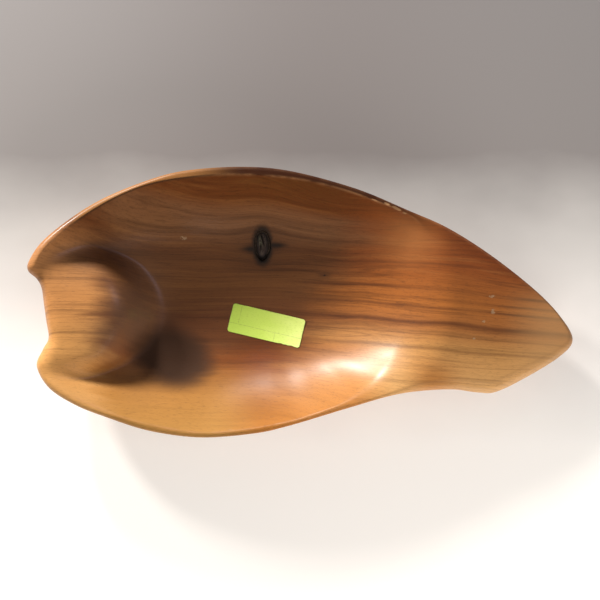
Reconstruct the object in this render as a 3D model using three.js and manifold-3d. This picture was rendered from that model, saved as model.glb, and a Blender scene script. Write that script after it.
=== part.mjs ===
// Leaf-shaped tray carved from one block of hardwood, with an oval dead knot in its floor
// and a paper price label. Millimetres, +Z up, resting on the flat foot at Z = 0.
// +X runs from the horned end to the pointed end, +Y towards the higher long rim.
import * as THREE from 'three';
import { mergeVertices } from 'three/addons/utils/BufferGeometryUtils.js';
import Module from 'manifold-3d';

// Overall sizes
const trayLength = 475;
const trayWidth = 232;

// Basin, wall and rim
const floorThickness = 10;
const rimWidth = 6;
const rimHeight = 66.5;
const rimTilt = 0.033;
const rimSoftness = 1.2;
const rimLandLeast = 1.5;
const wallFrom = 0.15;
const footDrop = 7;
const footEase = 3;
const sideLip = 1;
const lowerEdgeShare = 0.8;
const lowerEdgeMost = 14;
const edgeReadFrom = 0.5;
const edgeFocus = 6;

// Nose between the horns: a rounded saddle whose front falls steeply into the basin
const noseHeight = 64;
const noseCrest = [-207, -7.5];
const noseHalfWidth = 36;
const noseRoll = 0.0025;
const noseCrown = 7;
const noseFlank = 55;
const noseFront = -150;
const noseFrontCurve = 14;
const noseSlope = 2.2;
const noseBlend = 5;
const valleyBlend = 38;
const noseSoftness = 8;
const noseSoftAlong = [-150, -190];
const noseSoftSide = [30, 0];

// Pointed end: a broad face that droops towards the point
const faceAboveRim = 14.3;
const faceFallX = 0.17;
const faceRiseY = 0.088;
const faceCrown = 0.00025;
const faceMiddle = [150, -10];
const faceBlend = 6;
const ridgeSoftness = 20;
const ridgeAlong = [50, 104];
const ridgeSlant = 0.25;

// Dead knot, its bark and the pocket they sit in
const knotCentre = [-34.2, 50.2];
const knotHalfWidth = 5;
const knotHalfLength = 11.5;
const knotDepth = 7;
const knotTaper = 0.9;
const knotHeadroom = 16;
const barkThickness = 2;
const knotClearance = 0.3;

// Paper label on the basin floor
const labelCentre = [-30.7, -21];
const labelLength = 66.5;
const labelWidth = 26;
const labelCorner = 2.5;
const labelThickness = 0.4;
const labelGap = 0.3;
const labelTurn = THREE.MathUtils.degToRad(-13.3);

// Outline of the tray seen from above, clockwise from the upper horn, as it is drawn:
// place on the drawing and the radius that rounds the edge there.
const outline = [
  [-233.5, 35.4, 8], [-222, 51.6, 5.5], [-198.7, 70.6, 4.5], [-170, 88.2, 4],
  [-133, 103.4, 3.5], [-99.8, 112.2, 3.2], [-52.5, 115.7, 3.2], [-9.2, 112.1, 2.5],
  [45.7, 97.5, 2], [89.9, 79.5, 2], [126.2, 63.8, 2], [164.7, 40.4, 2],
  [204.3, 10.5, 2], [228, -13, 2.5], [239.9, -33.1, 5.5], [229.3, -47.8, 9],
  [201, -65.5, 12], [172.6, -79, 13], [155.5, -79.5, 13], [133.5, -76.5, 12],
  [104.1, -77.4, 9], [76.7, -81.3, 4], [36.3, -92.6, 2.5], [-10.8, -106.6, 2.5],
  [-41.5, -113.2, 3], [-86.7, -116.4, 3.5], [-130.4, -110.8, 4.5], [-169.1, -98.6, 6],
  [-194.4, -88.7, 7.5], [-217.2, -74.5, 11], [-228.8, -55.7, 14], [-223.5, -41, 13],
  [-218.6, -31, 13], [-220.6, -16.1, 14], [-222.6, -1.9, 14], [-224.4, 12.2, 13],
  [-228.1, 20.2, 11], [-234.5, 27, 9],
];

// Basin, walls and underside, measured round the deepest point of the floor.
// Every 15 degrees from +X: how far the basin and its rim reach, how late the inner wall
// rises, how deep the block is there, and how late the underside rises. Every 45 degrees:
// the rounder plan of the floor.
const basinCentre = [-28, -7];
const basinReach = [
  156, 157, 156, 137.5, 126.2, 121.3, 120.8, 126, 137.3, 156, 177.7, 205,
  236, 211, 174, 145.5, 127, 113, 105.5, 103.8, 106.4, 116, 134, 150,
];
const wallPower = [
  2.4, 2.4, 2.4, 2.7, 2.9, 3, 3.1, 3.2, 3.3, 3.4, 5, 5,
  4.5, 3.4, 3.1, 2.9, 2.8, 2.7, 2.6, 2.5, 2.4, 2.4, 2.4, 2.4,
];
const blockDepth = [
  51.3, 40.1, 10.1, 7.2, 6.9, 6.6, 6.3, 6.3, 6.2, 5.9, 7.3, 22.4,
  21.2, 22.5, 11.4, 6.9, 5.6, 5.5, 5.2, 4.7, 4, 7.9, 31.8, 48.6,
];
const underPower = [
  1.55, 2, 2.6, 3, 3.1, 3.1, 3.1, 3.1, 3.1, 3.1, 3.2, 3.3,
  3, 3, 3.1, 3.1, 3, 3, 2.9, 2.9, 2.9, 2.6, 2, 1.35,
];
const floorReach = [146, 131, 117, 152, 200, 140, 101, 120];

// Mesh density
const stepsPerPoint = 3;
const edgeRows = [0, 0.12, 0.45, 1];
const landRows = [0.5, 0.12];
const basinRows = [1, 0.94, 0.87, 0.79, 0.7, 0.6, 0.49, 0.37, 0.24, 0.11];
const underRows = [0.93, 0.85, 0.76, 0.66, 0.56, 0.46, 0.37, 0.29, 0.2];
const ovalSides = 36;

// Smooth closed curve through evenly numbered values, read at place s
function ring(values, s) {
  const n = values.length;
  const i = Math.floor(s);
  const t = s - i;
  const at = (k) => values[(((i + k) % n) + n) % n];
  const [a, b, c, d] = [at(-1), at(0), at(1), at(2)];
  return 0.5 * (2 * b + (c - a) * t + (2 * a - 5 * b + 4 * c - d) * t ** 2
    + (3 * b - a - 3 * c + d) * t ** 3);
}

// Smaller or larger of two heights, rounded over a blend of size k
function softMin(a, b, k) {
  const h = Math.max(k - Math.abs(a - b), 0) / k;
  return Math.min(a, b) - (h * h * k) / 4;
}

function softMax(a, b, k) {
  return -softMin(-a, -b, k);
}

// Smooth step from 0 to 1 as x goes from one end of a span to its other end
function ease([from, to], x) {
  return THREE.MathUtils.smoothstep((x - from) / (to - from), 0, 1);
}

const outlineX = outline.map((p) => p[0]);
const outlineY = outline.map((p) => p[1]);
const outlineEdge = outline.map((p) => p[2]);
const steps = outline.length * stepsPerPoint;
const places = Array.from({ length: steps }, (_, i) => i / stepsPerPoint);
const drawnX = places.map((s) => ring(outlineX, s));
const drawnY = places.map((s) => ring(outlineY, s));
const span = (values) => Math.max(...values) - Math.min(...values);
const stretchX = trayLength / span(drawnX);
const stretchY = trayWidth / span(drawnY);

// Flat, slightly tilted top of the block before the basin is cut
function blankTop(y) {
  return rimHeight + rimTilt * y;
}

// Broad face of the pointed end
function pointFace(x, y) {
  const [u, w] = [x - faceMiddle[0], y - faceMiddle[1]];
  return rimHeight + faceAboveRim - faceFallX * x + faceRiseY * y - faceCrown * (u * u + w * w);
}

// The block's top before the basin is cut
function blockTop(x, y) {
  return softMin(blankTop(y), pointFace(x, y), faceBlend);
}

// Rounded nose between the horns
function nose(x, y) {
  const side = (y - noseCrest[1]) / noseHalfWidth;
  const crown = noseCrown * side ** 2 + noseFlank * Math.max(Math.abs(side) - 1, 0) ** 2;
  const roll = noseRoll * (x - noseCrest[0]) ** 2;
  const past = (x - noseFront + noseFrontCurve * side ** 2) / noseBlend;
  const fall = Math.log1p(Math.exp(past));
  return noseHeight - crown - roll - noseSlope * noseBlend * fall;
}

// Distance from a place on the stretched plan to the outline, and the edge radius there
const shore = places.map((s, i) => ({
  from: [drawnX[i] * stretchX, drawnY[i] * stretchY],
  to: [drawnX[(i + 1) % steps] * stretchX, drawnY[(i + 1) % steps] * stretchY],
  edge: ring(outlineEdge, s),
}));

function edgeNear(x, y) {
  let nearest = Infinity;
  let weights = 0;
  let radii = 0;
  shore.forEach(({ from, to, edge }) => {
    const [ex, ey] = [to[0] - from[0], to[1] - from[1]];
    const along = ((x - from[0]) * ex + (y - from[1]) * ey) / (ex * ex + ey * ey);
    const u = THREE.MathUtils.clamp(along, 0, 1);
    const distance = Math.hypot(x - from[0] - u * ex, y - from[1] - u * ey);
    const weight = Math.max(distance, edgeReadFrom) ** -edgeFocus;
    nearest = Math.min(nearest, distance);
    weights += weight;
    radii += weight * edge;
  });
  return { distance: nearest, edge: radii / weights };
}

// How far a round edge of this radius has dropped at a distance from the outline
function roundedOff(radius, distance) {
  const q = THREE.MathUtils.clamp(1 - distance / radius, 0, 1);
  return radius * (1 - Math.sqrt(1 - q * q));
}

// One ray from the basin's centre to the outline, with what is measured along it
function rayTo(s) {
  const [dx, dy] = [ring(outlineX, s) - basinCentre[0], ring(outlineY, s) - basinCentre[1]];
  const reach = Math.hypot(dx, dy);
  const [ux, uy] = [dx / reach, dy / reach];
  const turn = THREE.MathUtils.euclideanModulo(Math.atan2(uy, ux) / (2 * Math.PI), 1);
  const around = (values) => ring(values, turn * values.length);
  const basin = around(basinReach) - rimWidth / Math.hypot(ux * stretchX, uy * stretchY);
  const topAt = (r) => blockTop(basinCentre[0] + ux * r, basinCentre[1] + uy * r);
  const ray = {
    ux, uy, reach, basin,
    edge: ring(outlineEdge, s),
    floorReach: around(floorReach),
    wallPower: around(wallPower),
    underReach: around(basinReach),
    underPower: around(underPower),
    brim: blankTop(basinCentre[1] + uy * basin),
    underRise: topAt(around(basinReach)) - around(blockDepth),
  };
  ray.side = topHeight(ray, reach);
  ray.lowerEdge = THREE.MathUtils.clamp(
    lowerEdgeShare * (ray.side - hullHeight(ray, reach)), sideLip / 2, lowerEdgeMost,
  );
  return ray;
}

// Height of the upper surface at drawn radius r along a ray
function topHeight(ray, r) {
  const x = basinCentre[0] + ray.ux * r;
  const y = basinCentre[1] + ray.uy * r;
  const nearRim = ease([wallFrom, 1], r / ray.basin);
  const t = r * ((1 - nearRim) / ray.floorReach + nearRim / ray.basin);
  const rise = t < 1 ? t ** ray.wallPower : 1 + ray.wallPower * (t - 1);
  const scoop = floorThickness + (ray.brim - floorThickness) * rise;
  const bowl = softMax(scoop, nose(x, y), valleyBlend);
  const atRidge = ease(ridgeAlong, x - ridgeSlant * y);
  const atNose = ease(noseSoftAlong, x) * ease(noseSoftSide, y);
  const soft = rimSoftness + ridgeSoftness * atRidge + noseSoftness * atNose;
  const { distance, edge } = edgeNear(x * stretchX, y * stretchY);
  const fromEdge = r < ray.reach ? distance : 0;
  return softMin(bowl, blockTop(x, y), soft) - roundedOff(edge, fromEdge);
}

// Rounded hull under the tray, cut flat for the foot
function hullHeight(ray, r) {
  const hull = (ray.underRise + footDrop) * (r / ray.underReach) ** ray.underPower - footDrop;
  return softMin(softMax(hull, 0, footEase), ray.side - sideLip, sideLip);
}

// Height of the underside at drawn radius r, with its edge rounded towards the side
function underHeight(ray, r) {
  const x = (basinCentre[0] + ray.ux * r) * stretchX;
  const y = (basinCentre[1] + ray.uy * r) * stretchY;
  const fromEdge = r < ray.reach ? edgeNear(x, y).distance : 0;
  return hullHeight(ray, r) + roundedOff(ray.lowerEdge, fromEdge);
}

// Closed body of rings carried round the outline, from the basin's centre over the rim
// and under to the middle of the foot
function carvedBlock() {
  const rays = places.map(rayTo);
  const rings = [];
  const addRing = (radiusOf, heightOf) => {
    rings.push(rays.map((ray) => {
      const r = radiusOf(ray);
      const x = (basinCentre[0] + ray.ux * r) * stretchX;
      const y = (basinCentre[1] + ray.uy * r) * stretchY;
      return [x, y, heightOf(ray, r)];
    }));
  };
  const inside = (ray) => ray.reach - ray.edge;
  const start = (ray) => Math.min(ray.basin, inside(ray) - rimLandLeast);
  const under = (ray) => ray.reach - ray.lowerEdge;
  [...basinRows].reverse().forEach((f) => addRing((ray) => start(ray) * f, topHeight));
  [...landRows].reverse().forEach((f) => {
    addRing((ray) => start(ray) + (inside(ray) - start(ray)) * f, topHeight);
  });
  [...edgeRows].reverse().forEach((f) => {
    addRing((ray) => ray.reach - (ray.reach - inside(ray)) * f, topHeight);
  });
  edgeRows.forEach((f) => {
    addRing((ray) => ray.reach - (ray.reach - under(ray)) * f, underHeight);
  });
  underRows.forEach((f) => addRing((ray) => under(ray) * f, underHeight));

  const points = rings.flat(2);
  const deepest = [basinCentre[0] * stretchX, basinCentre[1] * stretchY];
  const upperPole = points.length / 3;
  const lowerPole = upperPole + 1;
  points.push(...deepest, floorThickness, ...deepest, 0);
  const faces = [];
  const last = (rings.length - 1) * steps;
  for (let i = 0; i < steps; i += 1) {
    const j = (i + 1) % steps;
    faces.push(upperPole, j, i);
    faces.push(lowerPole, last + i, last + j);
    for (let k = 0; k < last; k += steps) {
      faces.push(k + i, k + j, k + steps + i);
      faces.push(k + j, k + steps + j, k + steps + i);
    }
  }
  return { points, faces };
}

const wasm = await Module();
wasm.setup();

function solidOf(points, faces) {
  const vertProperties = Float32Array.from(points);
  const triVerts = Uint32Array.from(faces);
  return new wasm.Manifold(new wasm.Mesh({ numProp: 3, vertProperties, triVerts }));
}

function solidOfGeometry(geometry) {
  geometry.deleteAttribute('normal');
  geometry.deleteAttribute('uv');
  const merged = mergeVertices(geometry);
  return solidOf(merged.attributes.position.array, merged.index.array);
}

const block = carvedBlock();
const wholeBlock = solidOf(block.points, block.faces);

// Height of the basin over the middle of the knot sets how deep the pocket goes
const down = new THREE.Raycaster(
  new THREE.Vector3(knotCentre[0] * stretchX, knotCentre[1] * stretchY, 2 * rimHeight),
  new THREE.Vector3(0, 0, -1),
);
const blockGeometry = new THREE.BufferGeometry();
blockGeometry.setAttribute('position', new THREE.Float32BufferAttribute(block.points, 3));
blockGeometry.setIndex(block.faces);
const knotSurface = down.intersectObject(new THREE.Mesh(blockGeometry))[0].point.z;
const pocketFloor = knotSurface - knotDepth;
const plugTop = knotSurface + knotHeadroom;

// Upright oval plug round the knot's middle, full size at the floor and narrower below
function ovalPlug(growth, bottom, top) {
  const sizeAt = (z) => 1 + ((1 - knotTaper) * (z - knotSurface)) / knotDepth;
  const plug = new THREE.CylinderGeometry(sizeAt(top), sizeAt(bottom), top - bottom, ovalSides);
  plug.rotateX(Math.PI / 2);
  plug.scale(knotHalfWidth + growth, knotHalfLength + growth, 1);
  plug.translate(knotCentre[0] * stretchX, knotCentre[1] * stretchY, (top + bottom) / 2);
  return solidOfGeometry(plug);
}

const pocket = ovalPlug(barkThickness + knotClearance, pocketFloor, plugTop);
const barkPlug = ovalPlug(barkThickness, pocketFloor + knotClearance, plugTop);
const coreHole = ovalPlug(knotClearance, pocketFloor - knotClearance, plugTop + knotClearance);
const corePlug = ovalPlug(0, pocketFloor + knotClearance, plugTop);

// Label: the layer between two raised copies of the floor, inside a rounded rectangle
function labelColumn() {
  const [a, b, c] = [labelLength / 2, labelWidth / 2, labelCorner];
  const shape = new THREE.Shape();
  shape.absarc(a - c, b - c, c, 0, Math.PI / 2);
  shape.absarc(-a + c, b - c, c, Math.PI / 2, Math.PI);
  shape.absarc(-a + c, -b + c, c, Math.PI, 1.5 * Math.PI);
  shape.absarc(a - c, -b + c, c, 1.5 * Math.PI, 2 * Math.PI);
  const column = new THREE.ExtrudeGeometry(shape, {
    depth: rimHeight, bevelEnabled: false, curveSegments: 4,
  });
  column.rotateZ(labelTurn);
  column.translate(labelCentre[0] * stretchX, labelCentre[1] * stretchY, 0);
  return solidOfGeometry(column);
}

const labelTop = wholeBlock.translate([0, 0, labelGap + labelThickness]);
const labelBottom = wholeBlock.translate([0, 0, labelGap]);

// Separate pieces, each a mesh of its own
function pieceMesh(name, solid, color, roughness) {
  const mesh = solid.getMesh();
  const geometry = new THREE.BufferGeometry();
  geometry.setAttribute('position', new THREE.BufferAttribute(mesh.vertProperties, 3));
  geometry.setIndex(new THREE.BufferAttribute(mesh.triVerts, 1));
  geometry.computeVertexNormals();
  const material = new THREE.MeshStandardMaterial({ color, roughness, metalness: 0 });
  const piece = new THREE.Mesh(geometry, material);
  piece.name = name;
  return piece;
}

const tray = new THREE.Group();
tray.add(pieceMesh('tray_body', wholeBlock.subtract(pocket), 0x8a5226, 0.35));
tray.add(pieceMesh('knot_bark_ring',
  barkPlug.subtract(coreHole).intersect(wholeBlock), 0x241710, 0.7));
tray.add(pieceMesh('knot_core', corePlug.intersect(wholeBlock), 0x4a4331, 0.55));
tray.add(pieceMesh('price_label',
  labelColumn().intersect(labelTop).subtract(labelBottom), 0xc3e04a, 0.6));

// The origin is under the middle of the tray, at the level of the foot
const middle = (values) => (Math.max(...values) + Math.min(...values)) / 2;
tray.position.set(-middle(drawnX) * stretchX, -middle(drawnY) * stretchY, 0);

const part = new THREE.Group();
part.add(tray);

export default part;
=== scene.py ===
import bpy
import numpy as np
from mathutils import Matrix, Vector


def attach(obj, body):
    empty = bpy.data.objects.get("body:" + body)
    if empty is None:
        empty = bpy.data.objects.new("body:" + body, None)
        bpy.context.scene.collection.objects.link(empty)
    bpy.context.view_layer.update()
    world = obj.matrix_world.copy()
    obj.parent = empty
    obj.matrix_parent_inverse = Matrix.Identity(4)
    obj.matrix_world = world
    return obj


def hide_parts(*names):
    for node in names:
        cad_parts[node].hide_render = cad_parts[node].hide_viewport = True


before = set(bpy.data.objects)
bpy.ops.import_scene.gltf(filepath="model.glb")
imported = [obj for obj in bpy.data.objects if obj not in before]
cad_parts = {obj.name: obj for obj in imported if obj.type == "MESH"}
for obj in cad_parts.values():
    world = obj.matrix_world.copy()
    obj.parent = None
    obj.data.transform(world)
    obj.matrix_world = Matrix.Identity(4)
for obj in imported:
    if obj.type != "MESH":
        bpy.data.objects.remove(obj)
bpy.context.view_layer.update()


# The tray is carved from one block of figured brown hardwood: a deep basin with a thin rim, two horns
# with a rounded nose between them, and a solid pointed end. It is sanded and lacquered all over, and
# stands on a flat oval sanded under the basin.
tray_length, tray_width = 475, 232
floor_thickness, rim_width, rim_height, rim_tilt = 10, 6, 66.5, 0.033
basin_x, basin_y = -28, -7

# Drawn outline of the block, clockwise from the upper horn: x, y and the radius that rounds its edge
outline = np.array([
    (-233.5, 35.4, 8), (-222, 51.6, 5.5), (-198.7, 70.6, 4.5), (-170, 88.2, 4), (-133, 103.4, 3.5),
    (-99.8, 112.2, 3.2), (-52.5, 115.7, 3.2), (-9.2, 112.1, 2.5), (45.7, 97.5, 2), (89.9, 79.5, 2),
    (126.2, 63.8, 2), (164.7, 40.4, 2), (204.3, 10.5, 2), (228, -13, 2.5), (239.9, -33.1, 5.5),
    (229.3, -47.8, 9), (201, -65.5, 12), (172.6, -79, 13), (155.5, -79.5, 13), (133.5, -76.5, 12),
    (104.1, -77.4, 9), (76.7, -81.3, 4), (36.3, -92.6, 2.5), (-10.8, -106.6, 2.5), (-41.5, -113.2, 3),
    (-86.7, -116.4, 3.5), (-130.4, -110.8, 4.5), (-169.1, -98.6, 6), (-194.4, -88.7, 7.5),
    (-217.2, -74.5, 11), (-228.8, -55.7, 14), (-223.5, -41, 13), (-218.6, -31, 13), (-220.6, -16.1, 14),
    (-222.6, -1.9, 14), (-224.4, 12.2, 13), (-228.1, 20.2, 11), (-234.5, 27, 9)])

# Measured round the basin's middle at even angles from +X: how far the basin reaches, how late its
# wall rises, how deep the block is, how late the underside rises, and the rounder plan of the floor
basin_reach = np.array([156, 157, 156, 137.5, 126.2, 121.3, 120.8, 126, 137.3, 156, 177.7, 205,
                        236, 211, 174, 145.5, 127, 113, 105.5, 103.8, 106.4, 116, 134, 150])
wall_power = np.array([2.4, 2.4, 2.4, 2.7, 2.9, 3, 3.1, 3.2, 3.3, 3.4, 5, 5,
                       4.5, 3.4, 3.1, 2.9, 2.8, 2.7, 2.6, 2.5, 2.4, 2.4, 2.4, 2.4])
block_depth = np.array([51.3, 40.1, 10.1, 7.2, 6.9, 6.6, 6.3, 6.3, 6.2, 5.9, 7.3, 22.4,
                        21.2, 22.5, 11.4, 6.9, 5.6, 5.5, 5.2, 4.7, 4, 7.9, 31.8, 48.6])
under_power = np.array([1.55, 2, 2.6, 3, 3.1, 3.1, 3.1, 3.1, 3.1, 3.1, 3.2, 3.3,
                        3, 3, 3.1, 3.1, 3, 3, 2.9, 2.9, 2.9, 2.6, 2, 1.35])
floor_reach = np.array([146, 131, 117, 152, 200, 140, 101, 120])


def closed_curve(values, place):
    """Smooth curve through evenly numbered values that joins up with itself: between two values it is
    the cubic that leaves each in the direction from its last neighbour to its next one."""
    i = np.floor(place).astype(int)
    t = place - i
    a, b, c, d = (values[(i + k) % len(values)] for k in (-1, 0, 1, 2))
    cubic = (2 * a - 5 * b + 4 * c - d) * t**2 + (3 * b - a - 3 * c + d) * t**3
    return 0.5 * (2 * b + (c - a) * t + cubic)


def round_basin(values, x, y):
    """Smooth value, out of some at even angles from +X, in the direction x, y from the basin's middle."""
    return closed_curve(values, len(values) * (np.arctan2(y, x) / (2 * np.pi) % 1))


def softer_min(a, b, blend):
    """The lower of two heights, less the square of how far they are inside the blend over 4 blends."""
    h = np.maximum(blend - np.abs(a - b), 0)
    return np.minimum(a, b) - h * h / (4 * blend)


def softer_max(a, b, blend):
    """The higher of two heights, rounded in the same way."""
    return -softer_min(-a, -b, blend)


def ease(start, end, x):
    """Smooth step from 0 at start to 1 at end: three squares less two cubes of the share between."""
    t = np.clip((x - start) / (end - start), 0, 1)
    return t * t * (3 - 2 * t)


thirds = np.arange(3 * len(outline)) / 3
drawn_x, drawn_y = closed_curve(outline[:, 0], thirds), closed_curve(outline[:, 1], thirds)
stretch_x = tray_length / np.ptp(drawn_x)
stretch_y = tray_width / np.ptp(drawn_y)
middle_x = stretch_x * (drawn_x.max() + drawn_x.min()) / 2
middle_y = stretch_y * (drawn_y.max() + drawn_y.min()) / 2


# Face of the pointed end: how far it would stand over the rim above the middle, its slopes along and
# across, its dome and the dome's middle, and how softly it meets the rim's plane
face_lead, face_fall, face_lean, face_blend = 14.3, 0.17, 0.088, 6
dome_rate, dome_x, dome_y = 0.00025, 150, -10


def blank_height(x, y):
    """Top of the block before the basin is cut: a tilted plane, and the same plane met by the domed and
    drooping face of the pointed end."""
    plane = rim_height + rim_tilt * y
    dome = dome_rate * ((x - dome_x) ** 2 + (y - dome_y) ** 2)
    face = rim_height + face_lead - face_fall * x + face_lean * y - dome
    return plane, softer_min(plane, face, face_blend)


# Nose: its top and how fast it falls off along, its middle line and half width, its drops to the half
# width and past it, and the crest of its front, with the slope below the crest
nose_top, nose_top_x, nose_rate = 64, -207, 0.0025
nose_middle, nose_half_width, nose_crown, nose_flank = -7.5, 36, 7, 55
crest_x, crest_bow, crest_softness, front_slope = -150, 14, 5, 2.2


def nose_height(x, y):
    """Nose between the horns: a saddle that falls off as squares along and across, and whose front
    falls in a straight line past a curved crest."""
    side = (y - nose_middle) / nose_half_width
    crown = nose_crown * side**2 + nose_flank * np.maximum(np.abs(side) - 1, 0) ** 2
    past = (x - crest_x + crest_bow * side**2) / crest_softness
    front = front_slope * crest_softness * np.logaddexp(0, past)
    return nose_top - crown - nose_rate * (x - nose_top_x) ** 2 - front


# How softly the wall meets the nose and the top of the block, how much softer the ridge before the
# pointed end and the edge of the nose are, where they become so, and how far out the floor's plan holds
valley_blend, rim_softness, ridge_softness, nose_softness = 38, 1.2, 20, 8
ridge_along, ridge_slant, nose_along, nose_across = (50, 104), 0.25, (-150, -190), (30, 0)
floor_share = 0.15


def basin_height(x, y):
    """Upper surface without its rounded edge: along each ray from the basin's middle the height grows
    as a power of the share of the way to the basin's brim, joined softly with the nose and the blank."""
    ray_x, ray_y = x - basin_x, y - basin_y
    r = np.maximum(np.hypot(ray_x, ray_y), 1e-6)
    ray_x, ray_y = ray_x / r, ray_y / r
    rim_plan = rim_width / np.hypot(ray_x * stretch_x, ray_y * stretch_y)
    brim = round_basin(basin_reach, ray_x, ray_y) - rim_plan
    near_rim = ease(floor_share, 1, r / brim)
    t = r * ((1 - near_rim) / round_basin(floor_reach, ray_x, ray_y) + near_rim / brim)
    power = round_basin(wall_power, ray_x, ray_y)
    rise = np.where(t < 1, np.minimum(t, 1) ** power, 1 + power * (t - 1))
    brim_height = blank_height(basin_x + brim * ray_x, basin_y + brim * ray_y)[0]
    scoop = floor_thickness + (brim_height - floor_thickness) * rise
    bowl = softer_max(scoop, nose_height(x, y), valley_blend)
    soft = rim_softness + ridge_softness * ease(*ridge_along, x - ridge_slant * y)
    soft = soft + nose_softness * ease(*nose_along, x) * ease(*nose_across, y)
    return softer_min(bowl, blank_height(x, y)[1], soft)


def rounded_off(radius, distance):
    """Drop of a quarter-round edge at a distance from the outline: the radius less the circle's height."""
    q = np.clip(1 - distance / radius, 0, 1)
    return radius * (1 - np.sqrt(1 - q * q))


def part_height(x, y):
    """Height of the basin at a place in the tray's own frame, in millimetres."""
    return basin_height((x + middle_x) / stretch_x, (y + middle_y) / stretch_y) + ripple(x, y)


def ripple(x, y):
    """Slight waves that sanding by hand leaves: four crossing sine waves, 20 to 60 mm long."""
    waves = ((0.11, 0.06, 0.3, 0.03), (-0.07, 0.16, 1.9, 0.025), (0.2, 0.13, 4.1, 0.012),
             (0.05, -0.24, 2.6, 0.012))
    return sum(size * np.sin(a * x + b * y + start) for a, b, start, size in waves)


# Chips in the rim's inner edge: x, y, half length, half width, depth and direction
chips = np.array([
    (60.4, 87.6, 3.2, 0.6, 0.4, -0.36), (71.2, 84.2, 2.4, 0.8, 0.6, -0.42),
    (79.5, 80.4, 4.0, 0.9, 0.7, -0.46), (86.5, 76.4, 1.8, 0.7, 0.5, -0.46),
    (-63, -109.4, 2.4, 0.6, 0.3, 0.05), (-24, -104.9, 3.0, 0.6, 0.3, 0.2),
    (5.4, -98.2, 2.6, 0.6, 0.3, 0.27)])


def chipped(x, y):
    """Depth of the chips at a place: each is its depth times a bell over its half length and width."""
    out = np.zeros_like(x)
    for cx, cy, long, wide, depth, turn in chips:
        along = (x - cx) * np.cos(turn) + (y - cy) * np.sin(turn)
        across = (y - cy) * np.cos(turn) - (x - cx) * np.sin(turn)
        out = np.maximum(out, depth * np.exp(-((along / long) ** 4) - (across / wide) ** 2))
    return out


# Plan of the tray's mesh: rays that are even along the outline, and rings that are close at the edge
ray_count = 720
fine = np.linspace(0, len(outline), 8001)
steps = np.hypot(np.diff(closed_curve(outline[:, 0], fine)), np.diff(closed_curve(outline[:, 1], fine)))
travelled = np.concatenate([[0], np.cumsum(steps)])
spot = np.interp(np.linspace(0, travelled[-1], ray_count, endpoint=False), travelled, fine)
shore_x, shore_y = closed_curve(outline[:, 0], spot), closed_curve(outline[:, 1], spot)
reach = np.hypot(shore_x - basin_x, shore_y - basin_y)


def ring_shares(insets, innermost, count):
    """Shares of the way to the outline at which the rings cross the rays: first at set distances inside
    the outline, then in even steps inwards to the innermost share."""
    inset = np.array(insets)[:, None]
    inwards = np.linspace(1, innermost, count)[1:, None]
    return np.vstack([1 - inset / reach, (1 - inset[-1] / reach) * inwards])


top_share = ring_shares([0, 0.15, 0.4, 0.8, 1.3, 1.9, 2.6, 3.3, 4, 4.7, 5.3, 5.8, 6.3, 6.9, 7.7, 8.8, 10.2,
                         12, 14, 16.5, 19], 0.015, 66)
under_share = ring_shares([0.3, 1, 2, 3.5, 5, 7, 9.5, 12, 15], 0.03, 28)


def to_outline(x, y):
    """Distance to the outline and the edge radius there: the least distance to any chord of the outline,
    and the mean of the chords' radii weighted by distance to the power of minus six."""
    nearest = np.full(x.shape, np.inf)
    weights, radii = np.zeros(x.shape), np.zeros(x.shape)
    chord_place = np.arange(12 * len(outline)) / 12
    ax, ay, edge = (closed_curve(outline[:, k], chord_place) for k in range(3))
    bx, by = np.roll(ax, -1), np.roll(ay, -1)
    for i in range(len(ax)):
        ex, ey = bx[i] - ax[i], by[i] - ay[i]
        u = np.clip(((x - ax[i]) * ex + (y - ay[i]) * ey) / (ex * ex + ey * ey), 0, 1)
        square = (x - ax[i] - u * ex) ** 2 + (y - ay[i] - u * ey) ** 2
        weight = np.maximum(square, 0.25) ** -3
        nearest = np.minimum(nearest, square)
        weights += weight
        radii += weight * edge[i]
    return np.sqrt(nearest), radii / weights


def on_plan(share):
    """Drawn x and y at a share of the way from the basin's middle to the outline, on every ray."""
    return basin_x + share * (shore_x - basin_x), basin_y + share * (shore_y - basin_y)


top_x, top_y = on_plan(top_share)
to_edge, edge_radius = to_outline(top_x, top_y)
to_edge[0] = 0
top_z = basin_height(top_x, top_y) - rounded_off(edge_radius, to_edge)

# The underside is a hull that rises as a power of the way out, cut flat for the foot, and its edge is
# rounded up to the side
ray_x, ray_y = (shore_x - basin_x) / reach, (shore_y - basin_y) / reach
under_reach = round_basin(basin_reach, ray_x, ray_y)
under_rise = blank_height(basin_x + under_reach * ray_x, basin_y + under_reach * ray_y)[1]
under_rise = under_rise - round_basin(block_depth, ray_x, ray_y)
side_height = top_z[0]
foot_cut, foot_blend = 7, 3
side_share, edge_least, edge_most = 0.8, 0.5, 14


def hull_height(share):
    """Underside before its edge is rounded: the rise and the foot's cut times a power of the way out,
    less the cut, kept above the floor and below the side's edge."""
    way_out = (share * reach / under_reach) ** round_basin(under_power, ray_x, ray_y)
    hull = (under_rise + foot_cut) * way_out - foot_cut
    return softer_min(softer_max(hull, 0 * share, foot_blend), side_height - 1, 1)


side_foot = hull_height(np.ones_like(reach))
lower_edge = np.clip(side_share * (side_height - side_foot), edge_least, edge_most)
under_x, under_y = on_plan(under_share)
under_z = hull_height(under_share) + rounded_off(lower_edge, to_outline(under_x, under_y)[0])
edge_under_z = side_foot + lower_edge

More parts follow.
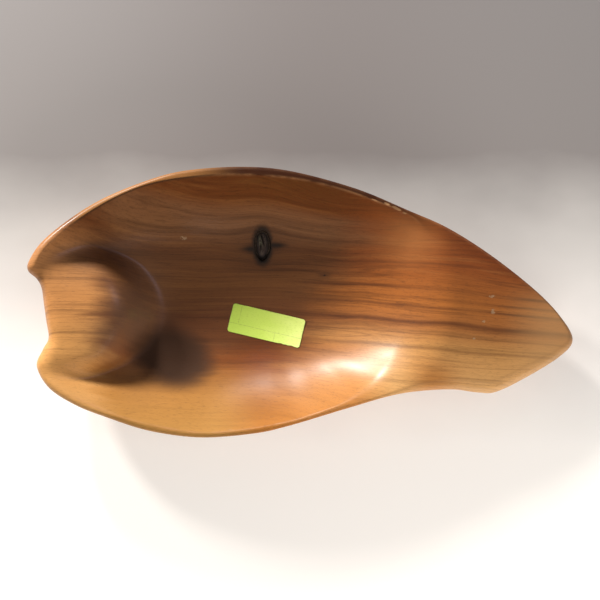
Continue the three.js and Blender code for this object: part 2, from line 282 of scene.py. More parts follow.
# All rings in order from the basin's middle over the rim to the middle of the foot, each clockwise
ring_x = np.vstack([top_x[::-1], shore_x, under_x]) * stretch_x - middle_x
ring_y = np.vstack([top_y[::-1], shore_y, under_y]) * stretch_y - middle_y
ring_z = np.vstack([top_z[::-1], edge_under_z, under_z])
top_rings = len(top_x)
over_x, over_y = ring_x[:top_rings], ring_y[:top_rings]
ring_z[:top_rings] += ripple(over_x, over_y) - chipped(over_x, over_y)
rings, rays = ring_x.shape


def quads(inner, outer):
    """Faces between loops of vertex numbers: each goes along the inner loop and back on the outer one."""
    return np.stack([inner, np.roll(inner, -1, -1), np.roll(outer, -1, -1), outer], -1)


def bands(inner, outer):
    """The same faces as one list."""
    return quads(inner, outer).reshape(-1, 4).tolist()


def fans(loop, middle, forward):
    """Triangles from one middle vertex to a loop of vertex numbers, going forward or back along it."""
    after = np.roll(loop, -1)
    first, second = (loop, after) if forward else (after, loop)
    return [[middle, int(i), int(j)] for i, j in zip(first, second)]


def piece(name, points, faces):
    """A smooth mesh object at the origin from points in millimetres."""
    mesh = bpy.data.meshes.new(name)
    mesh.from_pydata((np.asarray(points) / 1000).tolist(), [], faces)
    mesh.shade_smooth()
    made = bpy.data.objects.new(name, mesh)
    bpy.context.collection.objects.link(made)
    return made


# The dead knot lies in an oval pocket. The mesh leaves a window round it, and the window is closed by
# loops that shrink from its frame to the pocket's lip, then go down its wall and in over its floor
knot_x, knot_y = -34.2 * stretch_x - middle_x, 50.2 * stretch_y - middle_y
knot_half_width, knot_half_length, knot_depth, bark_thickness, knot_clearance = 5, 11.5, 7, 2, 0.3
window_half_width, window_half_length, lip_width, wall_levels = 11.5, 19, 0.6, (-2, -4.5)
knot_level = float(part_height(np.array(knot_x), np.array(knot_y)))


def knot_oval(angle, growth, height=0.0):
    """Plan of an oval round the knot: the half sizes and the growth times cosine and sine, with a slow
    wobble, narrower the further it lies below the basin."""
    wobble = 1 + 0.035 * np.sin(3 * angle + 0.6) + 0.02 * np.sin(5 * angle + 2.1)
    size = wobble * (1 + 0.1 * height / knot_depth)
    return (knot_x + size * (knot_half_width + growth) * np.cos(angle),
            knot_y + size * (knot_half_length + growth) * np.sin(angle))


number = np.arange(rings * rays).reshape(rings, rays)
near = (np.abs(ring_x - knot_x) < window_half_width) & (np.abs(ring_y - knot_y) < window_half_length)
near[top_rings:] = False
ring_0, ring_1 = np.flatnonzero(near.any(1))[[0, -1]]
ray_0, ray_1 = np.flatnonzero(near.any(0))[[0, -1]]
frame_loop = np.concatenate([
    number[ring_1, ray_0:ray_1], number[ring_1:ring_0:-1, ray_1],
    number[ring_0, ray_1:ray_0:-1], number[ring_0:ring_1, ray_0]])
frame_x, frame_y = ring_x.ravel()[frame_loop], ring_y.ravel()[frame_loop]
angle = np.arctan2((frame_y - knot_y) / knot_half_length, (frame_x - knot_x) / knot_half_width)
pocket_growth = bark_thickness + knot_clearance
lip_x, lip_y = knot_oval(angle, pocket_growth + lip_width)
patch = []
for share in (0.2, 0.4, 0.58, 0.74, 0.88, 1):
    x, y = frame_x + share * (lip_x - frame_x), frame_y + share * (lip_y - frame_y)
    patch.append(np.stack([x, y, part_height(x, y)], 1))
for growth, drop in ((0.3, 0.02), (0.1, 0.1), (0, 0.3)):
    x, y = knot_oval(angle, pocket_growth + growth)
    patch.append(np.stack([x, y, part_height(x, y) - drop], 1))
for level in (*wall_levels, -knot_depth):
    x, y = knot_oval(angle, pocket_growth, level)
    patch.append(np.stack([x, y, np.full_like(x, knot_level + level)], 1))
x, y = knot_oval(angle, pocket_growth - 3, -knot_depth)
patch.append(np.stack([x, y, np.full_like(x, knot_level - knot_depth)], 1))
patch = np.array(patch)
patch_number = rings * rays + 2 + np.arange(patch.shape[0] * patch.shape[1]).reshape(patch.shape[:2])
loops = np.vstack([frame_loop, patch_number])

grid_faces = quads(number[:-1], number[1:])
kept = np.ones(grid_faces.shape[:2], bool)
kept[ring_0:ring_1, ray_0:ray_1] = False
faces = grid_faces[kept].tolist() + bands(loops[1:], loops[:-1])
faces += fans(number[0], rings * rays, False) + fans(number[-1], rings * rays + 1, True)
faces += fans(loops[-1], patch_number.max() + 1, False)
middle_point = (basin_x * stretch_x - middle_x, basin_y * stretch_y - middle_y)
points = np.vstack([
    np.stack([ring_x.ravel(), ring_y.ravel(), ring_z.ravel()], 1),
    [(*middle_point, ring_z[0].mean()), (*middle_point, 0)],
    patch.reshape(-1, 3),
    [(knot_x, knot_y, knot_level - knot_depth)]])
tray = piece("carved_tray", points, faces)
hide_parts("tray_body")
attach(tray, "root")


def note(made, name, values):
    """Keeps one number for each vertex of a piece, for its finish to read."""
    made.data.attributes.new(name, "FLOAT", "POINT").data.foreach_set("value", np.asarray(values, float))


# Notes for the finish: the rim's inner arris, the land outside it, the outer edge, the chips and the
# upper side
plan_x, plan_y = (points[:, 0] + middle_x) / stretch_x, (points[:, 1] + middle_y) / stretch_y
out_x, out_y = plan_x - basin_x, plan_y - basin_y
out_r = np.maximum(np.hypot(out_x, out_y), 1e-6)
ray_stretch = np.hypot(out_x * stretch_x, out_y * stretch_y) / out_r
to_arris = (out_r - round_basin(basin_reach, out_x, out_y)) * ray_stretch + rim_width
on_top = np.zeros(len(points))
on_top[:top_rings * rays] = 1
on_top[rings * rays] = 1
on_top[rings * rays + 2:] = 1
crisp = (1 - ease(*ridge_along, plan_x - ridge_slant * plan_y)) * (1 - ease(-185, -200, plan_x))
note(tray, "arris", on_top * crisp * np.exp(-((to_arris / 0.8) ** 2)))
note(tray, "land", on_top * crisp * ease(-0.6, 0.6, to_arris))
note(tray, "edge", np.exp(-((to_outline(plan_x, plan_y)[0] / 1.6) ** 2)))
note(tray, "chip", on_top * np.clip(2 * chipped(points[:, 0], points[:, 1]), 0, 1))
note(tray, "upper", on_top)


class Wire:
    """An output of a node in a finish: + - * / with other wires or numbers add Math nodes."""

    def __init__(self, socket):
        self.socket = socket

    def node(self, kind, settings=None, inputs=None, output=0):
        """Adds a node, makes its settings, a ramp's stops among them, then fills or links its inputs."""
        tree = self.socket.id_data
        made = tree.nodes.new("ShaderNode" + kind)
        for name, value in (settings or {}).items():
            if name != "stops":
                setattr(made, name, value)
                continue
            for i, (stop, colour) in enumerate(value):
                element = made.color_ramp.elements[i] if i < 2 else made.color_ramp.elements.new(stop)
                element.position = stop
                element.color = (*colour, 1)
        for name, value in (inputs or {}).items():
            if isinstance(value, Wire):
                tree.links.new(value.socket, made.inputs[name])
            else:
                made.inputs[name].default_value = value
        if output is None:
            return [Wire(socket) for socket in made.outputs]
        return Wire(made.outputs[output])

    def maths(self, operation, first, second=0.0):
        """A Math node on two wires or numbers."""
        return self.node("Math", {"operation": operation}, {0: first, 1: second})

    def __add__(self, other):
        return self.maths("ADD", self, other)

    def __radd__(self, other):
        return self.maths("ADD", other, self)

    def __sub__(self, other):
        return self.maths("SUBTRACT", self, other)

    def __rsub__(self, other):
        return self.maths("SUBTRACT", other, self)

    def __mul__(self, other):
        return self.maths("MULTIPLY", self, other)

    def __rmul__(self, other):
        return self.maths("MULTIPLY", other, self)

    def __truediv__(self, other):
        return self.maths("DIVIDE", self, other)

    def __neg__(self):
        return self.maths("MULTIPLY", self, -1.0)

    def __abs__(self):
        return self.maths("ABSOLUTE", self)

    def root(self):
        return self.maths("SQRT", self)

    def sine(self):
        return self.maths("SINE", self)

    def least(self, other):
        return self.maths("MINIMUM", self, other)

    def most(self, other):
        return self.maths("MAXIMUM", self, other)

    def rise(self, start, end, low=0.0, high=1.0):
        """Smooth step from low to high while the wire goes from start to end."""
        return self.node("MapRange", {"interpolation_type": "SMOOTHSTEP"},
                         {0: self, 1: start, 2: end, 3: low, 4: high})

    def bell(self, middle, width):
        """1 at the middle, falling off on both sides as the power of e to minus the square over width."""
        off = (self - middle) / width
        return self.maths("EXPONENT", -(off * off))

    def split(self):
        """The x, y and z of a place."""
        return self.node("SeparateXYZ", None, {0: self}, None)

    def grain(self, period, detail=2.0, roughness=0.5):
        """Smooth noise about 0.5 over a place, with a period along each axis."""
        scaled = self.node("VectorMath", {"operation": "DIVIDE"}, {0: self, 1: period})
        return self.node("TexNoise", {"normalize": True},
                         {"Vector": scaled, "Scale": 1.0, "Detail": detail, "Roughness": roughness})

    def mixed(self, other, share, blend="MIX"):
        """This colour with another colour, a wire or three numbers, laid over it by a share."""
        laid = other if isinstance(other, Wire) else (*other, 1)
        return self.node("Mix", {"data_type": "RGBA", "blend_type": blend}, {0: share, 6: self, 7: laid}, 2)

    def bands(self, *stops):
        """Colour from a list of stops, each at a value of the wire."""
        low, high = stops[0][0], stops[-1][0]
        shares = [((at - low) / (high - low), colour) for at, colour in stops]
        return self.node("ValToRGB", {"stops": shares}, {0: (self - low) / (high - low)})

    def relief(self, millimetres):
        """A bumped normal from this height, where 1 stands for so many millimetres."""
        return self.node("Bump", None, {"Height": self, "Distance": millimetres / 1000, "Strength": 1.0})

    def noted(self, name, output=2):
        """What was noted under a name on the piece's vertices: one number or, from output 1, three."""
        return self.node("Attribute", {"attribute_name": name}, None, output)

    def over(self, x, y):
        """A place made of this wire, x and y."""
        return self.node("CombineXYZ", None, {0: self, 1: x, 2: y})


def finish(name, **steady):
    """A material with its steady values set on the shader: returns it, its shader and the place in mm."""
    made = bpy.data.materials.new(name)
    made.use_nodes = True
    shader = made.node_tree.nodes["Principled BSDF"]
    for socket, value in steady.items():
        shader.inputs[socket.replace("_", " ")].default_value = value
    here = Wire(made.node_tree.nodes.new("ShaderNodeTexCoord").outputs["Object"])
    return made, shader, here.node("VectorMath", {"operation": "SCALE"}, {0: here, "Scale": 1000.0})


def feed(shader, **wires):
    """Links wires to the shader's inputs."""
    for socket, wire in wires.items():
        wire.socket.id_data.links.new(wire.socket, shader.inputs[socket.replace("_", " ")])


# Lacquered wood. The growth layers lie along the tray: 'layer' numbers them across it in millimetres,
# tilted with height at the horned end and fanned out at the pointed end, and they bulge round the knot
wood, shader, place = finish("lacquered_wood", Coat_Roughness=0.3, Coat_IOR=1.5, Specular_IOR_Level=0.12)
x, y, z = place.split()
layer = y - 0.36 * z * x.rise(50, -50) + 0.09 * (x - 50).most(0)
knot_layer = knot_y - 0.36 * knot_level
from_knot = (layer - knot_layer) * x.bell(knot_x, 20) * layer.bell(knot_layer, 15)
wander = place.grain((100, 40, 60), 1) - 0.5
layer = layer - 0.5 * from_knot + 7 * wander
sheets = x.over(layer, 0.3 * z)

# The layers' colours by number, in three stretches with ragged ends: the horned end, the dark heartwood
# under the basin and the face of the pointed end
mouth = layer.bands(
    (-120, (0.46, 0.24, 0.08)), (-60, (0.60, 0.29, 0.09)), (-25, (0.48, 0.21, 0.066)),
    (0, (0.40, 0.175, 0.058)), (28, (0.38, 0.165, 0.06)), (48, (0.14, 0.047, 0.016)),
    (90, (0.13, 0.038, 0.012)))
heart = layer.bands(
    (-132, (0.39, 0.195, 0.052)), (-95, (0.39, 0.175, 0.04)), (-75, (0.31, 0.12, 0.024)),
    (-58, (0.23, 0.068, 0.015)), (-42, (0.155, 0.053, 0.018)), (-12, (0.14, 0.05, 0.018)),
    (14, (0.19, 0.074, 0.024)), (44, (0.12, 0.045, 0.017)), (58, (0.20, 0.088, 0.037)),
    (69, (0.19, 0.08, 0.034)), (76, (0.135, 0.039, 0.011)), (98, (0.10, 0.027, 0.008)),
    (110, (0.045, 0.015, 0.007)))
face = layer.bands(
    (-120, (0.56, 0.28, 0.085)), (-67, (0.66, 0.36, 0.135)), (-32, (0.49, 0.235, 0.072)),
    (-15, (0.33, 0.118, 0.031)), (3, (0.35, 0.115, 0.024)), (37, (0.24, 0.062, 0.013)),
    (70, (0.21, 0.05, 0.011)), (125, (0.14, 0.034, 0.009)))
ragged = x + 60 * (sheets.grain((60, 9, 20), 2) - 0.5)
to_face = ragged - 0.5 * (layer - 30).least(25)
colour = mouth.mixed(heart, ragged.rise(-192, -160)).mixed(face, to_face.rise(5, 80))

# Figure: broad soft stripes, thin dark growth lines, a few long dark strands in chosen layers, fine
# grain, and pores as short dark dashes, all calmer in the sapwood
calm = layer.rise(-90, -10, 0.25, 1)
stripes = sheets.grain((230, 5.5, 14), 3, 0.6)
dark_stripes = stripes.rise(0.52, 0.75, 0, 0.38) * layer.rise(-95, -45, 0.35, 1)
colour = colour.mixed((0.03, 0.012, 0.006), dark_stripes)
colour = colour.mixed((0.55, 0.24, 0.07), stripes.rise(0.5, 0.28, 0, 0.13))
line = abs(sheets.grain((520, 10, 30), 1) - 0.5).rise(0.03, 0)
colour = colour.mixed((0.05, 0.014, 0.006), line * calm * x.rise(-60, 60, 0.2, 0.3))
strands = layer.bell(-34, 1.6) * 0.6
for at, thick, depth in ((16, 1.5, 1), (8, 0.9, 0.7), (1, 1.3, 1), (-12, 2.1, 1), (-22, 0.8, 0.5),
                         (38, 1.2, 0.6)):
    strands = strands.most(layer.bell(at, thick) * depth)
strands = strands * x.rise(-40, 40) * sheets.grain((120, 30, 20), 1).rise(0.3, 0.55, 0.35, 1)
colour = colour.mixed((0.07, 0.02, 0.008), 0.75 * strands)
fine = sheets.grain((55, 0.8, 1.2), 2)
colour = colour.mixed((0.03, 0.011, 0.005), calm * fine.rise(0.45, 0.8, 0, 0.32))
pores = sheets.grain((5, 0.35, 0.5), 1).rise(0.6, 0.7)
colour = colour.mixed((0.02, 0.009, 0.005), 0.3 * pores)

# Tone from place to place: a painted pool of light and a darker shoulder before the pointed end, painted
# light on the lower side of its tip, painted shade in the hollow by the upper horn and on the shaded side
# of the nose, the nose's cast shadow painted as a dark lobe on the wall beside it, and a darker tone along
# the lower wall
upper = place.noted("upper")
# Painted light: a paler patch on the wall before the ridge of the pointed end
painted_light_patch = x.bell(92, 26) * y.bell(58, 26)
colour = colour.mixed((0.40, 0.16, 0.05), 0.55 * painted_light_patch)
# Painted light: the lower side of the tip is made paler
painted_tip_light = x.rise(165, 222) * y.rise(26, -14)
colour = colour.mixed((0.62, 0.36, 0.16), 0.45 * painted_tip_light)
# Painted shade: the hollow between the upper horn and the nose is darkened
painted_hollow_shade = upper * x.bell(-184, 24) * y.bell(40, 15)
colour = colour.mixed((0.05, 0.026, 0.018), 0.5 * painted_hollow_shade)
# Painted shade: the side of the nose turned from the light is made greyer and darker
painted_nose_shade = upper * (x.bell(-146, 22) * y.bell(-18, 46)).most(0.8 * x.bell(-165, 20) * y.bell(-34, 24))
colour = colour.mixed((0.16, 0.10, 0.066), 0.55 * painted_nose_shade)
# Painted shadow: the nose's cast shadow, a dark lobe on the wall beside it
nose_shadow_x, nose_shadow_y = (0.75 * x + 0.25 * ragged + 116) / 33, (y + 0.15 * x + 66) / 25
painted_nose_shadow = upper * (nose_shadow_x * nose_shadow_x + nose_shadow_y * nose_shadow_y).rise(1.8, 0.35)
colour = colour.mixed((0.055, 0.027, 0.016), 0.97 * painted_nose_shadow)
shoulder = (0.463 * x + 0.886 * y).rise(97, 109) * x.rise(50, 75)
colour = colour.mixed((0.74, 0.68, 0.6), 0.9 * shoulder, "MULTIPLY")
# A darker tone along the lower wall and on a spot right of the highlight
darker_lower_wall = x.rise(-80, -30) * x.rise(85, 40) * layer.rise(-22, -42)
darker_lower_wall = darker_lower_wall.most(x.bell(113, 20) * layer.bell(-62, 18))
colour = colour.mixed((0.75, 0.54, 0.33), 0.85 * darker_lower_wall, "MULTIPLY")

# Stain round the knot: a dark halo with a thin pointed wedge along the grain on each side, and a pin knot
along, across = x - knot_x, y - knot_y
soot = place.grain((5, 3, 3), 3) - 0.5
left_wedge = along.rise(-25, -10) * along.rise(6, 0) * across.bell(-2.8, 1.7 + 2.6 * along.rise(-20, -5))
right_wedge = along.rise(27, 14) * along.rise(-6, 0) * across.bell(0.4, 2 + 1.4 * along.rise(22, 8))
ring = ((along / 7.6) * (along / 7.6) + (across / 14.5) * (across / 14.5) + 0.8 * soot).rise(2.3, 0.8)
stain = left_wedge.most(right_wedge).most(ring)
halo = upper * x.bell(knot_x, 20) * y.bell(knot_y - 3, 15)
pin = x.bell(18.9, 1.6) * y.bell(24.2, 1.1)
pin_halo = x.bell(18.9, 6) * y.bell(24.2, 2.6)
colour = colour.mixed((0.05, 0.025, 0.014), 0.5 * halo)
colour = colour.mixed((0.014, 0.010, 0.008), upper * (0.95 * stain).most(pin).most(0.5 * pin_halo))

# Wear: the land is dark with polish along the upper rim and tan at its left, the lacquer is rubbed thin on
# the arris and the outer edge, whose upper right is paler still as a painted highlight, and gone in the
# chips and in a few nicks
arris, land, edge, chip = (place.noted(name) for name in ("arris", "land", "edge", "chip"))
colour = colour.mixed((0.033, 0.010, 0.004), 0.92 * land * y.rise(20, 60) * x.rise(-130, -55))
patchy = place.grain((14, 14, 14), 3)
upper_left = x.rise(-50, -105) * y.rise(15, 45)
colour = colour.mixed((0.46, 0.22, 0.07), 0.4 * land * upper_left)
colour = colour.mixed((0.04, 0.016, 0.007), 0.85 * arris * upper_left)
# The outer edge is rubbed pale all round; the extra paleness along its upper right is a painted highlight
# line
rubbed_and_lit_edge = edge * (0.2 + 0.5 * x.rise(60, 110) * y.rise(-20, 10)) * patchy.rise(0.35, 0.6)
rubbed = (arris * (1 - upper_left) * patchy.rise(0.3, 0.62)).most(rubbed_and_lit_edge)
colour = colour.mixed((0.40, 0.19, 0.08), 0.55 * rubbed)
bare = chip.rise(0.25, 0.6)
colour = colour.mixed((0.38, 0.21, 0.10), 0.75 * bare)
nicks = x.bell(164, 2.2) * y.bell(-7.6, 2)
for nick_x, nick_y, long, high in ((163, 5.4, 2.6, 1.2), (156, -16.4, 1.5, 1), (147.5, -31.2, 1.3, 0.8),
                                   (-106.5, 57.5, 2.6, 1.8)):
    nicks = nicks.most(x.bell(nick_x, long) * y.bell(nick_y, high))
nicks = (upper * nicks * place.grain((1.8, 1.6, 1.6), 1).rise(0.3, 0.55)).rise(0.15, 0.5)
colour = colour.mixed((0.36, 0.24, 0.14), 0.6 * nicks)

# The coat is uneven, thin where it is worn, and left off the painted shadow beside the nose
cloudy = place.grain((45, 30, 30), 3)
dull = (0.34 + 0.14 * cloudy + 0.1 * pores + 0.25 * rubbed + 0.3 * bare).least(0.9)
worn = (1 - bare) * (1 - 0.6 * rubbed) * (1 - 0.75 * land.most(edge))
coat = (0.66 - 0.2 * cloudy) * worn * (1 - 0.92 * painted_nose_shadow)
height = 0.25 * fine - 0.7 * pores - 2.5 * nicks + 2 * place.grain((9, 5, 5), 1) - 1.5 * bare * patchy
feed(shader, Base_Color=colour, Roughness=dull, Coat_Weight=coat, Normal=height.relief(0.05))
tray.data.materials.append(wood)


# The dead knot is the stub of a branch that the trunk grew round: an oval plug of darker, cracked wood.
# It is cut level with the basin and lacquered with it, and the bark round it holds it in its pocket
around = np.linspace(0, 2 * np.pi, 120, endpoint=False)
foot_level = knot_clearance - knot_depth


def turned(name, loops, capped=True):
    """A closed piece from anticlockwise loops of points, from the top's middle outwards and down to the
    foot's middle: the end loops are filled in or, uncapped, meet each other."""
    loops = np.asarray(loops)
    count, sides = loops.shape[:2]
    numbers = np.arange(count * sides).reshape(count, sides)
    if not capped:
        numbers = np.vstack([numbers, numbers[0]])
        return piece(name, loops.reshape(-1, 3), bands(numbers[1:], numbers[:-1]))
    caps = fans(numbers[0], count * sides, True) + fans(numbers[-1], count * sides + 1, False)
    ends = [loops[0].mean(0), loops[-1].mean(0)]
    return piece(name, np.vstack([loops.reshape(-1, 3), ends]), bands(numbers[1:], numbers[:-1]) + caps)


def dead_top(x, y):
    """Top of the dead wood: the basin's surface, less a bell-shaped crack along the knot and fine bumps."""
    u, w = x - knot_x, y - knot_y
    crack = 0.9 * np.exp(-(((u + 0.25 * w - 1.4) / 0.45) ** 2) - ((w - 6) / 4.5) ** 4)
    side_crack = 0.5 * np.exp(-(((u + 1.6) / 0.4) ** 2) - ((w + 1) / 3.5) ** 4)
    bumps = 0.05 * np.sin(2.9 * u + 1) * np.sin(1.7 * w) + 0.04 * np.sin(5.1 * u - 2.3 * w)
    return part_height(x, y) - 0.1 - crack - side_crack + bumps


core_loops = []
for share in np.linspace(0.04, 0.97, 26):
    oval_x, oval_y = knot_oval(around, 0)
    u, w = knot_x + share * (oval_x - knot_x), knot_y + share * (oval_y - knot_y)
    core_loops.append(np.stack([u, w, dead_top(u, w)], 1))
u, w = knot_oval(around, 0)
core_loops.append(np.stack([u, w, part_height(u, w) - 0.35], 1))
for level in (*wall_levels, foot_level):
    u, w = knot_oval(around, 0, level)
    core_loops.append(np.stack([u, w, np.full_like(u, knot_level + level)], 1))
u, w = knot_oval(around, -2.5, foot_level)
core_loops.append(np.stack([u, w, np.full_like(u, knot_level + foot_level)], 1))
core = turned("dead_knot", core_loops)
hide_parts("knot_core")
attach(core, "root")

dead, shader, place = finish("dead_knot_wood", Coat_Roughness=0.25, Coat_IOR=1.5, Specular_IOR_Level=0.15)
x, y = place.split()[:2]
u, w = x - knot_x, y - knot_y
swirl = place.grain((2.2, 4, 3), 3) - 0.5
from_heart = (u * u / 25 + w * w / 132).root() + 0.35 * swirl
years = (34 * from_heart).sine()
colour = (w + 3 * swirl).bands((-12, (0.025, 0.014, 0.018)), (-5, (0.036, 0.023, 0.02)),
                               (1, (0.03, 0.02, 0.016)), (12, (0.028, 0.021, 0.016)))
colour = colour.mixed((0.06, 0.042, 0.028), years.rise(0.1, 0.9, 0, 0.12))
streaks = place.grain((1.1, 6, 5), 1)
colour = colour.mixed((0.085, 0.065, 0.052), streaks.rise(0.5, 0.68, 0, 0.6))
moss = (u + 0.22 * w).bell(-1.2, 1.3) * w.rise(-3, 3) * swirl.rise(-0.2, 0.05)
colour = colour.mixed((0.11, 0.11, 0.07), 0.8 * moss)
lens = u.bell(-0.7, 1.6) * w.bell(-7.2, 2.2)
colour = colour.mixed((0.12, 0.09, 0.07), 0.6 * lens)
colour = colour.mixed((0.014, 0.010, 0.009), from_heart.rise(0.45, 1, 0, 0.85))
split = (u + 0.25 * w).bell(1.4, 0.55) * w.rise(-1, 2) + u.bell(-1.6, 0.45) * w.bell(-1, 3.2)
colour = colour.mixed((0.008, 0.006, 0.005), split.least(1))
height = years * 0.4 + 2 * swirl - 2 * split
feed(shader, Base_Color=colour, Roughness=0.42 + 0.5 * swirl + 0.2 * moss,
     Coat_Weight=0.3 - 0.25 * split.least(1), Normal=height.relief(0.06))
core.data.materials.append(dead)


# A ring of the branch's own bark lies between the dead knot and the living wood. It is dark and crumbly,
# sits a little lower than both, and was lacquered over
bark_loops = []
for level in (foot_level, *wall_levels[::-1]):
    u, w = knot_oval(around, bark_thickness, level)
    bark_loops.append(np.stack([u, w, np.full_like(u, knot_level + level)], 1))
for share in np.linspace(0, 1, 9):
    growth = bark_thickness + share * (knot_clearance - bark_thickness)
    u, w = knot_oval(around, growth)
    crumbs = 0.12 * np.sin(17 * around + 4 * share) * np.sin(7 * around - 9 * share)
    drop = 0.3 + 0.25 * np.sin(np.pi * share) - crumbs * np.sin(np.pi * share)
    bark_loops.append(np.stack([u, w, part_height(u, w) - drop], 1))
for level in (*wall_levels, foot_level):
    u, w = knot_oval(around, knot_clearance, level)
    bark_loops.append(np.stack([u, w, np.full_like(u, knot_level + level)], 1))
bark = turned("bark_ring", bark_loops[::-1], capped=False)
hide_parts("knot_bark_ring")
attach(bark, "root")

crust, shader, place = finish("old_bark", Coat_Roughness=0.3, Coat_IOR=1.5, Specular_IOR_Level=0.15)
lumps = place.grain((1.4, 1.4, 1.4), 4, 0.65)
colour = lumps.bands((0.3, (0.008, 0.006, 0.005)), (0.5, (0.02, 0.013, 0.009)),
                     (0.62, (0.04, 0.026, 0.018)), (0.75, (0.06, 0.04, 0.03)))
feed(shader, Base_Color=colour, Roughness=0.45 + 0.5 * lumps, Coat_Weight=lumps.rise(0.3, 0.6, 0.35, 0.15),
     Normal=(lumps * 2).relief(0.2))
bark.data.materials.append(crust)


# The price label is a small sheet of lime green paper with rounded corners, stuck down on the basin floor.
# Its lower edge is scuffed near one end, one corner has come up a little, and it has no print
label_x, label_y = -30.7 * stretch_x - middle_x, -21 * stretch_y - middle_y
label_length, label_width, label_corner, label_turn = 66.5, 26, 2.5, np.radians(-13.3)
label_under, label_paper = 0.3, 0.22

half_long, half_wide = label_length / 2 - label_corner, label_width / 2 - label_corner
quarter = np.linspace(0, np.pi / 2, 8)
sheet_x, sheet_y = [], []
sheet_sides = ((1, 1), (-1, 1), (-1, -1), (1, -1))
for k, (side_x, side_y) in enumerate(sheet_sides):
    bend = quarter + k * np.pi / 2
    corner_x = side_x * half_long + label_corner * np.cos(bend)
    corner_y = side_y * half_wide + label_corner * np.sin(bend)
    next_x, next_y = sheet_sides[(k + 1) % 4]
    count = 60 if k in (0, 2) else 24
    straight = np.linspace(0, 1, count + 2)[1:-1]
    start_x, start_y = corner_x[-1], corner_y[-1]
    end_x = next_x * half_long + label_corner * np.cos(bend[-1])
    end_y = next_y * half_wide + label_corner * np.sin(bend[-1])
    sheet_x += [corner_x, start_x + straight * (end_x - start_x)]
    sheet_y += [corner_y, start_y + straight * (end_y - start_y)]
sheet_x, sheet_y = np.concatenate(sheet_x), np.concatenate(sheet_y)

# The scuffs pull the edge in by sine waves inside two bells along the edge
nibble = 0.5 + 0.5 * np.sin(0.9 * sheet_x) * np.sin(0.4 * sheet_x + 1)
lower_scuff = (sheet_y < 0) * np.exp(-(((sheet_x - 22) / 8) ** 4))
upper_scuff = (sheet_y > 0) * np.exp(-(((sheet_x + 27) / 5) ** 4))
scuff = (0.06 * lower_scuff + 0.03 * upper_scuff) * nibble


def on_label(share, lift):
    """Loop of points at a share of the way from the label's middle to its edge, lifted off the floor; the
    corner near the upper right stands up by a square of the way into it."""
    a, b = share * sheet_x, share * sheet_y * (1 - scuff * share**8)
    u = label_x + a * np.cos(label_turn) - b * np.sin(label_turn)
    w = label_y + a * np.sin(label_turn) + b * np.cos(label_turn)
    curl = 0.5 * np.maximum((a / half_long + b / half_wide - 1.45) / 0.6, 0) ** 2
    return np.stack([u, w, part_height(u, w) + lift + curl], 1), np.stack([a, b, 0 * a], 1)


label_rings = [(share, label_under + label_paper) for share in (*np.linspace(0.03, 0.97, 24), 0.99)]
label_rings += [(1, label_under + 0.8 * label_paper), (1, label_under + 0.1 * label_paper)]
label_rings += [(share, label_under) for share in (0.99, *np.linspace(0.97, 0.05, 20))]
made = [on_label(share, lift) for share, lift in label_rings]
label = turned("lime_label", [loop for loop, flat in made])
flat = np.vstack([flat for loop, flat in made] + [np.zeros((2, 3))])
label.data.attributes.new("sheet", "FLOAT_VECTOR", "POINT").data.foreach_set("vector", flat.ravel())
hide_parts("price_label")
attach(label, "root")

paper, shader, place = finish("lime_paper", Specular_IOR_Level=0.35)
spread = place.noted("sheet", 1)
a, b = spread.split()[:2]
fibres = spread.grain((2.2, 0.9, 1), 3)
cloud = spread.grain((18, 9, 5), 2)
# Painted shade: the paper is darker towards its left end and paler towards its right, in cloudy patches
colour = (a + 30 * (cloud - 0.5)).bands(
    (-34, (0.50, 0.70, 0.10)), (0, (0.58, 0.76, 0.13)), (34, (0.74, 0.86, 0.25)))
colour = colour.mixed((0.36, 0.52, 0.07), fibres.rise(0.5, 0.8, 0, 0.45))
ruled = abs(b + 4.5).rise(0.32, 0.16).most(abs(a - 9).rise(0.3, 0.15) * b.rise(-4.2, -4.6))
ruled = ruled.most(abs(a + 25).rise(0.3, 0.15) * b.rise(-4.8, -4.4))
colour = colour.mixed((0.16, 0.24, 0.06), 0.4 * ruled * fibres.rise(0.3, 0.55))
rim = (abs(a) - 32.3).most(abs(b) - 12.2).rise(0, 0.9)
colour = colour.mixed((0.22, 0.26, 0.08), 0.5 * rim * cloud.rise(0.35, 0.6))
feed(shader, Base_Color=colour, Roughness=0.5 + 0.2 * fibres, Normal=fibres.relief(0.03))
label.data.materials.append(paper)
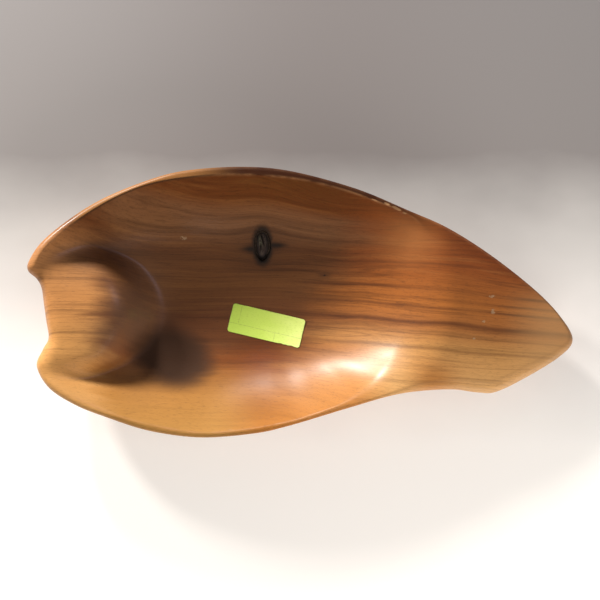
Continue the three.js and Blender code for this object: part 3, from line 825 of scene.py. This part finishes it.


# A pale floor under the tray that glows with painted light and is painted darker towards the top, a camera
# straight
# above it, and soft studio lights: two main ones low at the upper left, a wide one over the lower side and
# a bluish window at the right
floor_reach_mm, floor_level = 3000, -0.2
floor_sides = ((-1, -1), (1, -1), (1, 1), (-1, 1))
corners = [(floor_reach_mm * i, floor_reach_mm * j, floor_level) for i, j in floor_sides]
ground = piece("floor", corners, [(0, 1, 2, 3)])
# The floor glows with its own colour, painted light that lifts the shadows on it
paint, shader, place = finish("floor_paint", Roughness=0.8, Emission_Strength=0.62)
x, y = place.split()[:2]
shade_wobble = place.grain((90, 60, 60), 3) - 0.5
# Painted shade: the floor is darker towards the top, with a wobbly edge
colour = (y + 40 * shade_wobble).bands(
    (-130, (0.68, 0.65, 0.62)), (-40, (0.54, 0.51, 0.49)), (60, (0.35, 0.33, 0.315)),
    (135, (0.16, 0.145, 0.14)), (400, (0.15, 0.14, 0.14)))
# Painted shadow: a dark patch on the floor above the middle of the tray's upper rim
colour = colour.mixed((0.10, 0.08, 0.075), 0.35 * x.bell(10, 150) * y.rise(95, 140))
feed(shader, Base_Color=colour, Emission_Color=colour)
ground.data.materials.append(paint)

view = bpy.data.cameras.new("camera")
view.lens, view.sensor_width, view.clip_end = 80, 36, 50
camera = bpy.data.objects.new("camera", view)
camera.location = (-0.0030, 0.0022, 1.206)
bpy.context.collection.objects.link(camera)
bpy.context.scene.camera = camera


def soft_light(name, azimuth, elevation, distance, size, power, colour):
    """An area light that faces the tray's middle from an azimuth, an elevation and a distance."""
    data = bpy.data.lights.new(name, "AREA")
    data.shape, data.energy, data.color = "ELLIPSE", power, colour
    data.size, data.size_y = size
    light = bpy.data.objects.new(name, data)
    bpy.context.collection.objects.link(light)
    a, e = np.radians((azimuth, elevation))
    away = Vector((np.cos(a) * np.cos(e), np.sin(a) * np.cos(e), np.sin(e)))
    light.location = Vector((0, 0, 0.03)) + distance * away
    light.rotation_euler = away.to_track_quat("Z", "Y").to_euler()
    return light


soft_light("main_light", 139, 21, 1.5, (0.17, 0.22), 24, (1, 0.97, 0.92))
soft_light("second_light", 119, 21, 1.5, (0.19, 0.24), 26, (1, 0.97, 0.92))
bounce = soft_light("bounce_light", -65, 30, 1.3, (1.4, 0.6), 14, (1, 0.97, 0.93))
bounce.visible_glossy = False
window = soft_light("window_light", 32, 38, 1.2, (0.6, 0.5), 1.3, (0.7, 0.7, 1))
window.visible_diffuse = False
world = bpy.data.worlds.new("studio")
bpy.context.scene.world = world
world.use_nodes = True
world.node_tree.nodes["Background"].inputs["Color"].default_value = (1, 0.94, 0.86, 1)
world.node_tree.nodes["Background"].inputs["Strength"].default_value = 0.2
bpy.context.scene.view_settings.view_transform = "Standard"
